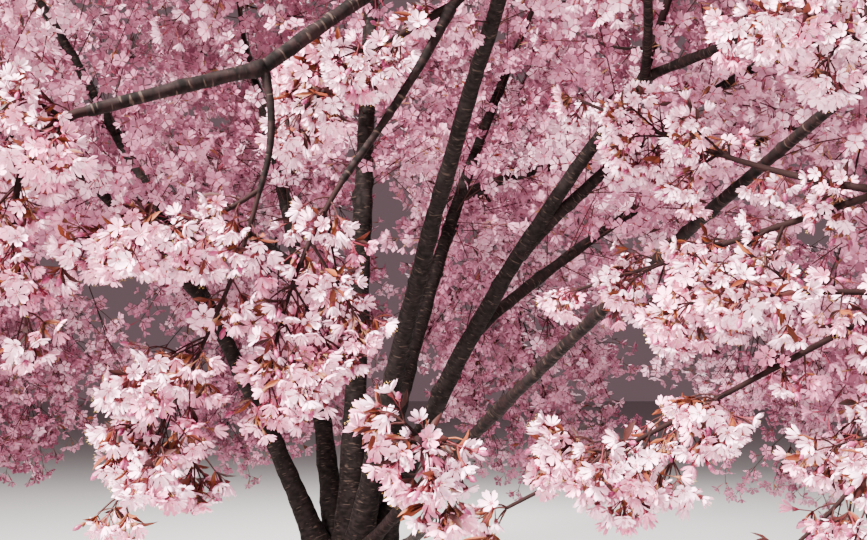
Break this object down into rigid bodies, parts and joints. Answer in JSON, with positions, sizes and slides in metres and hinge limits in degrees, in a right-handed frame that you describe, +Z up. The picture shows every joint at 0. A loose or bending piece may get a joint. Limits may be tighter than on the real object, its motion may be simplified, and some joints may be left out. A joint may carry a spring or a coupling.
{
  "type": "cherry blossom tree",
  "caption": "Low-forked pink hill cherry in full blossom: flared trunk, fanned stems, arching boughs and masses of blossom that hang to eye level at the front.",
  "frame": {"origin": "middle of the flat cut under the trunk, at ground level", "axes": "+Z up the trunk; -Y is the front, the low side of the crown that the picture looks at; +X is to the right as seen from the front"},
  "size_m": [6.5872, 6.6263, 5.4798],
  "materials": {
    "bark": "rough dark brown bark",
    "blossom": "soft pale pink petals with bronze young leaves"
  },
  "bodies": {
    "root": {"trunk": "bark", "stem_back_left": "bark", "stem_back_right": "bark", "stem_front": "bark", "stem_left": "bark", "stem_middle": "bark", "stem_right": "bark", "bough_back_left_1": "bark", "bough_back_left_2": "bark", "bough_back_right_1": "bark", "bough_back_right_2": "bark", "bough_hanging_left": "bark", "bough_hanging_middle": "bark", "bough_hanging_right": "bark", "bough_left_1": "bark", "bough_left_2": "bark", "bough_low_front": "bark", "bough_low_right": "bark", "bough_outer_left": "bark", "bough_over_left": "bark", "bough_over_middle": "bark", "bough_over_right": "bark", "bough_right_1": "bark", "bough_right_2": "bark", "front_left_edge": "blossom", "front_left_low": "blossom", "front_left_upper": "blossom", "front_low": "blossom", "front_middle_low": "blossom", "front_middle_upper": "blossom", "front_right_corner": "blossom", "front_right_far_high": "blossom", "front_right_far_low": "blossom", "front_right_low": "blossom", "front_right_middle": "blossom", "front_right_upper": "blossom", "shoulder_back_left_1": "blossom", "shoulder_back_left_2": "blossom", "shoulder_back_right_1": "blossom", "shoulder_back_right_2": "blossom", "shoulder_front_left": "blossom", "shoulder_front_right": "blossom", "shoulder_left_1": "blossom", "shoulder_left_2": "blossom", "shoulder_right_1": "blossom", "shoulder_right_2": "blossom", "skirt_back_left_1": "blossom", "skirt_back_left_2": "blossom", "skirt_back_right_1": "blossom", "skirt_back_right_2": "blossom", "skirt_left_1": "blossom", "skirt_left_2": "blossom", "skirt_right_1": "blossom", "skirt_right_2": "blossom", "upper_back_left": "blossom", "upper_back_right": "blossom", "upper_front": "blossom", "upper_left": "blossom", "upper_middle": "blossom", "upper_right": "blossom"}
  },
  "joints": []
}
